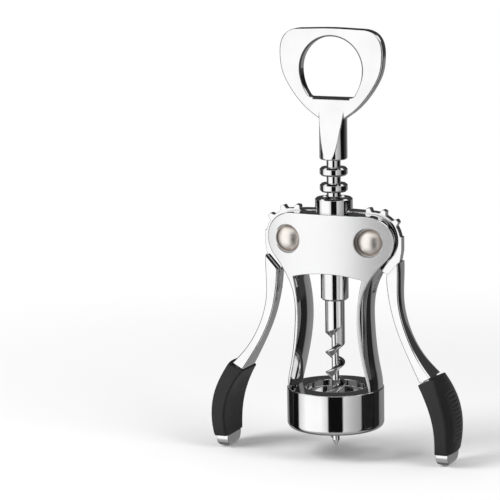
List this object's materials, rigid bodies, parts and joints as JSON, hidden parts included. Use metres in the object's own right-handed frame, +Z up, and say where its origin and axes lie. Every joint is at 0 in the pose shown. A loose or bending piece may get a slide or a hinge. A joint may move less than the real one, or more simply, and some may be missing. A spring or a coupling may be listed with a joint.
{
  "type": "wing corkscrew",
  "caption": "Wing corkscrew: geared levers on an annular rack draw a worm up through a bottle ring; the turning handle is a crown-cap opener.",
  "frame": {"origin": "centre of the ring's bottom face, where the bottle's neck enters", "axes": "+Z up along the worm towards the handle, levers spread along X, front faces -Y"},
  "size_m": [0.1074, 0.0402, 0.1776],
  "materials": {
    "frame_chrome": "polished chrome on die-cast zinc",
    "collar_chrome": "polished chrome",
    "spindle_chrome": "polished chrome",
    "worm_chrome": "polished chrome on steel",
    "handle_chrome": "polished chrome on die-cast zinc",
    "lever_chrome": "polished chrome on die-cast zinc",
    "rivet_nickel": "satin nickel",
    "rod_steel": "drawn steel",
    "grip_plastic": "matt black, ribbed"
  },
  "bodies": {
    "frame": {"frame": "frame_chrome", "guide_collar": "collar_chrome", "pivot_rivet_left": "rivet_nickel", "pivot_rivet_right": "rivet_nickel", "rivet_cap_left": "rivet_nickel", "rivet_cap_right": "rivet_nickel"},
    "rack": {"rack_sleeve": "spindle_chrome"},
    "handle": {"opener_handle": "handle_chrome", "spindle_rod": "rod_steel", "worm": "worm_chrome", "worm_pin": "rod_steel"},
    "left_lever": {"lever_left": "lever_chrome", "grip_left": "grip_plastic"},
    "right_lever": {"lever_right": "lever_chrome", "grip_right": "grip_plastic"}
  },
  "joints": [
    {"name": "rack_slide", "type": "slide", "parent": "frame", "child": "rack", "axis": [0, 0, 1], "range_m": [-0.0295, 0.0034]},
    {"name": "handle_spin", "type": "hinge", "parent": "rack", "child": "handle", "pos_m": [0, 0, 0.12], "axis": [0, 0, 1], "continuous": true},
    {"name": "left_lever_pivot", "type": "hinge", "parent": "frame", "child": "left_lever", "pos_m": [-0.01784, 0, 0.079], "axis": [0, 1, 0], "range_deg": [-15.5, 133.5]},
    {"name": "right_lever_pivot", "type": "hinge", "parent": "frame", "child": "right_lever", "pos_m": [0.01784, 0, 0.079], "axis": [0, -1, 0], "range_deg": [-15.5, 133.5]}
  ],
  "couplings": [
    {"joint": "left_lever_pivot", "follows": "rack_slide", "rad_per_m": -78.737},
    {"joint": "right_lever_pivot", "follows": "rack_slide", "rad_per_m": -78.737}
  ]
}
